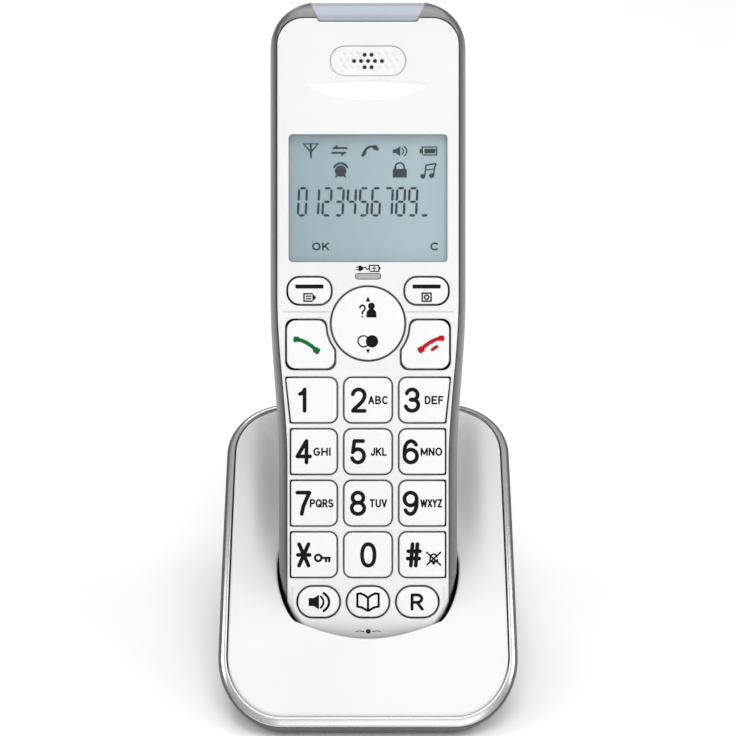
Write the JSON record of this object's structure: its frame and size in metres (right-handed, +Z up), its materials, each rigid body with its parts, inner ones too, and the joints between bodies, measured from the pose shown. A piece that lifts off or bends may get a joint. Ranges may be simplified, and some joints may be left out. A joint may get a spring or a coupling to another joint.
{
  "type": "cordless phone with base",
  "caption": "Slim cordless telephone handset with a large-key pad and display, leaning back in a low wedge-shaped charging cradle.",
  "frame": {"origin": "on the surface the base stands on, under the middle of the whole object's box", "axes": "+Z up, +X to the right of a person facing the keypad, +Y away from them; the handset leans back towards +Y by 25 degrees"},
  "size_m": [0.074, 0.1044, 0.1579],
  "materials": {
    "white_shell": "glossy injection-moulded white",
    "key_caps": "satin white key caps with printed legends",
    "silver_shell": "satin silver paint on moulded plastic",
    "bright_trim": "bright silver plated trim",
    "grey_shell": "satin grey moulded plastic",
    "clear_window": "clear acrylic window",
    "display": "reflective liquid crystal display",
    "tinted_lens": "translucent pale blue-grey lens",
    "silicone": "silicone rubber sheet",
    "circuit_board": "solder mask green",
    "black_plastic": "satin black",
    "steel": "zinc-plated steel",
    "cell_sleeve": "printed battery sleeve",
    "contact_metal": "gold-flashed contacts",
    "foot_rubber": "matt dark rubber"
  },
  "bodies": {
    "base": {"base_board": "circuit_board", "base_bottom_cover": "grey_shell", "base_screw_front_left": "steel", "base_screw_front_right": "steel", "base_screw_rear_left": "steel", "base_screw_rear_right": "steel", "base_top_cover": "white_shell", "base_trim_ring": "bright_trim", "dc_inlet": "black_plastic", "rubber_foot_front_left": "foot_rubber", "rubber_foot_front_right": "foot_rubber", "rubber_foot_rear_left": "foot_rubber", "rubber_foot_rear_right": "foot_rubber"},
    "handset": {"battery_cell_left": "cell_sleeve", "battery_cell_right": "cell_sleeve", "battery_contact_left": "steel", "battery_contact_right": "steel", "call_alert_lens": "tinted_lens", "charge_led_lens": "tinted_lens", "earpiece_pad": "white_shell", "earpiece_speaker": "black_plastic", "handset_board": "circuit_board", "handset_contact_left": "contact_metal", "handset_contact_right": "contact_metal", "handset_front_shell": "white_shell", "handset_rear_shell": "silver_shell", "handset_screw_left": "steel", "handset_screw_right": "steel", "keypad_membrane": "silicone", "lcd_panel": "display", "lcd_window": "clear_window", "microphone": "steel", "ringer_speaker": "black_plastic"},
    "battery_door": {"battery_door": "silver_shell"},
    "key_0": {"key_0": "key_caps"},
    "key_1": {"key_1": "key_caps"},
    "key_2": {"key_2": "key_caps"},
    "key_3": {"key_3": "key_caps"},
    "key_4": {"key_4": "key_caps"},
    "key_5": {"key_5": "key_caps"},
    "key_6": {"key_6": "key_caps"},
    "key_7": {"key_7": "key_caps"},
    "key_8": {"key_8": "key_caps"},
    "key_9": {"key_9": "key_caps"},
    "key_star": {"key_star": "key_caps"},
    "key_hash": {"key_hash": "key_caps"},
    "key_speakerphone": {"key_speakerphone": "key_caps"},
    "key_phonebook": {"key_phonebook": "key_caps"},
    "key_recall": {"key_recall": "key_caps"},
    "softkey_left": {"softkey_left": "key_caps"},
    "softkey_right": {"softkey_right": "key_caps"},
    "call_key": {"call_key": "key_caps"},
    "end_key": {"end_key": "key_caps"},
    "nav_key": {"nav_key": "key_caps"},
    "charge_pin_left": {"charge_pin_left": "contact_metal"},
    "charge_pin_right": {"charge_pin_right": "contact_metal"}
  },
  "joints": [
    {"name": "handset_lift", "type": "slide", "parent": "base", "child": "handset", "axis": [0, 0.4226, 0.9063], "range_m": [0, 0.08]},
    {"name": "battery_door_release", "type": "slide", "parent": "handset", "child": "battery_door", "axis": [0, 0.9063, -0.4226], "range_m": [0, 0.01]},
    {"name": "key_0_press", "type": "slide", "parent": "handset", "child": "key_0", "axis": [0, 0.9063, -0.4226], "range_m": [0, 0.0008], "stiffness_N_per_m": 800},
    {"name": "key_1_press", "type": "slide", "parent": "handset", "child": "key_1", "axis": [0, 0.9063, -0.4226], "range_m": [0, 0.0008], "stiffness_N_per_m": 800},
    {"name": "key_2_press", "type": "slide", "parent": "handset", "child": "key_2", "axis": [0, 0.9063, -0.4226], "range_m": [0, 0.0008], "stiffness_N_per_m": 800},
    {"name": "key_3_press", "type": "slide", "parent": "handset", "child": "key_3", "axis": [0, 0.9063, -0.4226], "range_m": [0, 0.0008], "stiffness_N_per_m": 800},
    {"name": "key_4_press", "type": "slide", "parent": "handset", "child": "key_4", "axis": [0, 0.9063, -0.4226], "range_m": [0, 0.0008], "stiffness_N_per_m": 800},
    {"name": "key_5_press", "type": "slide", "parent": "handset", "child": "key_5", "axis": [0, 0.9063, -0.4226], "range_m": [0, 0.0008], "stiffness_N_per_m": 800},
    {"name": "key_6_press", "type": "slide", "parent": "handset", "child": "key_6", "axis": [0, 0.9063, -0.4226], "range_m": [0, 0.0008], "stiffness_N_per_m": 800},
    {"name": "key_7_press", "type": "slide", "parent": "handset", "child": "key_7", "axis": [0, 0.9063, -0.4226], "range_m": [0, 0.0008], "stiffness_N_per_m": 800},
    {"name": "key_8_press", "type": "slide", "parent": "handset", "child": "key_8", "axis": [0, 0.9063, -0.4226], "range_m": [0, 0.0008], "stiffness_N_per_m": 800},
    {"name": "key_9_press", "type": "slide", "parent": "handset", "child": "key_9", "axis": [0, 0.9063, -0.4226], "range_m": [0, 0.0008], "stiffness_N_per_m": 800},
    {"name": "key_star_press", "type": "slide", "parent": "handset", "child": "key_star", "axis": [0, 0.9063, -0.4226], "range_m": [0, 0.0008], "stiffness_N_per_m": 800},
    {"name": "key_hash_press", "type": "slide", "parent": "handset", "child": "key_hash", "axis": [0, 0.9063, -0.4226], "range_m": [0, 0.0008], "stiffness_N_per_m": 800},
    {"name": "key_speakerphone_press", "type": "slide", "parent": "handset", "child": "key_speakerphone", "axis": [0, 0.9063, -0.4226], "range_m": [0, 0.0008], "stiffness_N_per_m": 800},
    {"name": "key_phonebook_press", "type": "slide", "parent": "handset", "child": "key_phonebook", "axis": [0, 0.9063, -0.4226], "range_m": [0, 0.0008], "stiffness_N_per_m": 800},
    {"name": "key_recall_press", "type": "slide", "parent": "handset", "child": "key_recall", "axis": [0, 0.9063, -0.4226], "range_m": [0, 0.0008], "stiffness_N_per_m": 800},
    {"name": "softkey_left_press", "type": "slide", "parent": "handset", "child": "softkey_left", "axis": [0, 0.9063, -0.4226], "range_m": [0, 0.0008], "stiffness_N_per_m": 800},
    {"name": "softkey_right_press", "type": "slide", "parent": "handset", "child": "softkey_right", "axis": [0, 0.9063, -0.4226], "range_m": [0, 0.0008], "stiffness_N_per_m": 800},
    {"name": "call_key_press", "type": "slide", "parent": "handset", "child": "call_key", "axis": [0, 0.9063, -0.4226], "range_m": [0, 0.0008], "stiffness_N_per_m": 800},
    {"name": "end_key_press", "type": "slide", "parent": "handset", "child": "end_key", "axis": [0, 0.9063, -0.4226], "range_m": [0, 0.0008], "stiffness_N_per_m": 800},
    {"name": "nav_key_rock", "type": "hinge", "parent": "handset", "child": "nav_key", "pos_m": [0, 0.0046, 0.08503], "axis": [1, 0, 0], "range_deg": [-3, 3], "stiffness_Nm_per_rad": 0.1},
    {"name": "charge_pin_left_travel", "type": "slide", "parent": "base", "child": "charge_pin_left", "axis": [0, -0.4226, -0.9063], "range_m": [0, 0.0008], "stiffness_N_per_m": 300},
    {"name": "charge_pin_right_travel", "type": "slide", "parent": "base", "child": "charge_pin_right", "axis": [0, -0.4226, -0.9063], "range_m": [0, 0.0008], "stiffness_N_per_m": 300}
  ]
}
